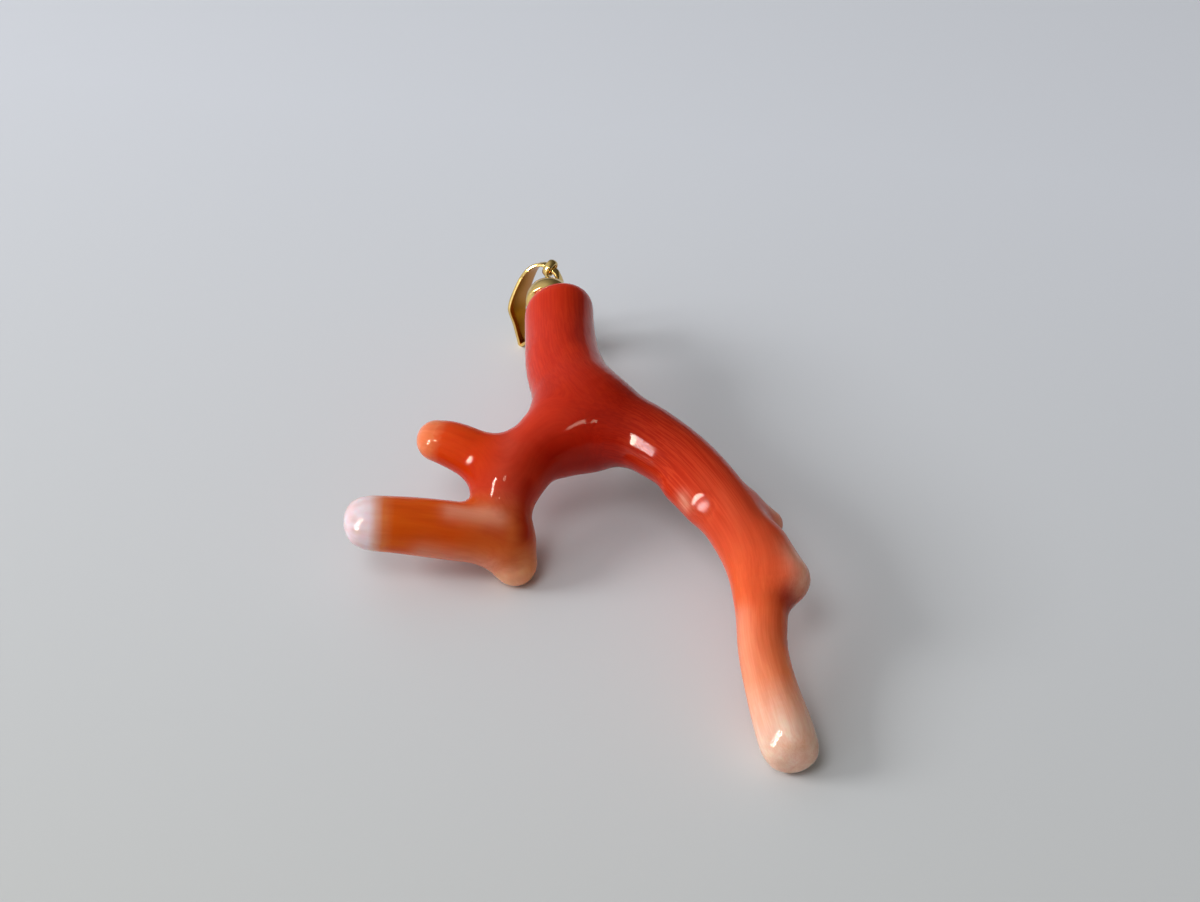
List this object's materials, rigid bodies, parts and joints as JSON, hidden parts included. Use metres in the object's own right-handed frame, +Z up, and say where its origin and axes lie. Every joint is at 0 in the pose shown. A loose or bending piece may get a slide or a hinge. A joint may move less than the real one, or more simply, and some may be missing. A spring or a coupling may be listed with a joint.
{
  "type": "coral branch pendant",
  "caption": "Polished red-orange coral branch with forking limbs, a straight side arm and a short stub, fitted with a swinging gold bail.",
  "frame": {"origin": "on the table, under the middle of the whole object's outline", "axes": "+Z up from the table, +Y from the tip of the right branch to the bail, +X to the right branch's side"},
  "size_m": [0.0402, 0.0561, 0.0138],
  "materials": {
    "coral_red": "polished",
    "coral_orange": "polished",
    "gold": "polished"
  },
  "bodies": {
    "coral": {"trunk": "coral_red", "right_branch": "coral_red", "left_branch": "coral_red", "front_arm": "coral_orange", "eye_peg": "gold"},
    "bail": {"bail": "gold"}
  },
  "joints": [
    {"name": "bail_swing", "type": "hinge", "parent": "coral", "child": "bail", "pos_m": [-0.0025, 0.0261, 0.0093], "axis": [0.7961, -0.5671, -0.211], "range_deg": [0, 180]}
  ]
}
